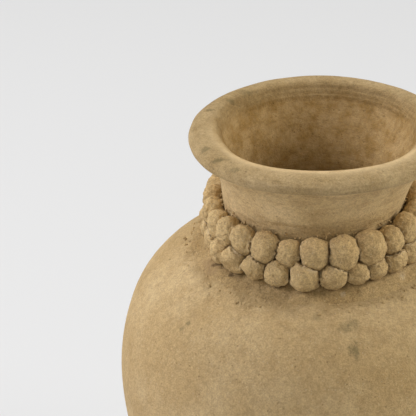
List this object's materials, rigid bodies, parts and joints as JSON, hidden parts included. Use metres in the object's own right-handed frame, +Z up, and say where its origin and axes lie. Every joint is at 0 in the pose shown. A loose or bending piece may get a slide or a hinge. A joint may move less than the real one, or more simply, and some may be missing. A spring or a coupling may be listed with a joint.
{
  "type": "pithos",
  "caption": "Wide-mouthed handmade clay storage jar with a waisted neck, a thick flared lip and a collar of pressed clay pellets round the neck.",
  "frame": {"origin": "middle of the foot's underside, on the surface that the jar stands on", "axes": "+Z up along the jar's axis, -Y towards the viewer, +X to the viewer's right"},
  "size_m": [0.472, 0.4718, 0.6215],
  "materials": {
    "body_clay": "matte sandy coarse clay",
    "neck_clay": "matte, faint throwing lines",
    "lip_clay": "matte, smoothed by hand",
    "slip_clay": "matte, rough crumbly slip",
    "pellet_clay": "matte, hand-rolled, lightly cracked"
  },
  "bodies": {
    "root": {"base_disc": "body_clay", "lower_wall": "body_clay", "belly_wall": "body_clay", "shoulder_wall": "body_clay", "neck_collar": "neck_clay", "rim_lip": "lip_clay", "bedding_coil": "slip_clay", "lower_pellet_01": "pellet_clay", "lower_pellet_02": "pellet_clay", "lower_pellet_03": "pellet_clay", "lower_pellet_04": "pellet_clay", "lower_pellet_05": "pellet_clay", "lower_pellet_06": "pellet_clay", "lower_pellet_07": "pellet_clay", "lower_pellet_08": "pellet_clay", "lower_pellet_09": "pellet_clay", "lower_pellet_10": "pellet_clay", "lower_pellet_11": "pellet_clay", "lower_pellet_12": "pellet_clay", "lower_pellet_13": "pellet_clay", "lower_pellet_14": "pellet_clay", "lower_pellet_15": "pellet_clay", "lower_pellet_16": "pellet_clay", "lower_pellet_17": "pellet_clay", "lower_pellet_18": "pellet_clay", "lower_pellet_19": "pellet_clay", "lower_pellet_20": "pellet_clay", "lower_pellet_21": "pellet_clay", "lower_pellet_22": "pellet_clay", "lower_pellet_23": "pellet_clay", "lower_pellet_24": "pellet_clay", "lower_pellet_25": "pellet_clay", "lower_pellet_26": "pellet_clay", "lower_pellet_27": "pellet_clay", "upper_pellet_01": "pellet_clay", "upper_pellet_02": "pellet_clay", "upper_pellet_03": "pellet_clay", "upper_pellet_04": "pellet_clay", "upper_pellet_05": "pellet_clay", "upper_pellet_06": "pellet_clay", "upper_pellet_07": "pellet_clay", "upper_pellet_08": "pellet_clay", "upper_pellet_09": "pellet_clay", "upper_pellet_10": "pellet_clay", "upper_pellet_11": "pellet_clay", "upper_pellet_12": "pellet_clay", "upper_pellet_13": "pellet_clay", "upper_pellet_14": "pellet_clay", "upper_pellet_15": "pellet_clay", "upper_pellet_16": "pellet_clay", "upper_pellet_17": "pellet_clay", "upper_pellet_18": "pellet_clay", "upper_pellet_19": "pellet_clay", "upper_pellet_20": "pellet_clay", "upper_pellet_21": "pellet_clay", "upper_pellet_22": "pellet_clay", "upper_pellet_23": "pellet_clay", "upper_pellet_24": "pellet_clay", "upper_pellet_25": "pellet_clay"}
  },
  "joints": []
}
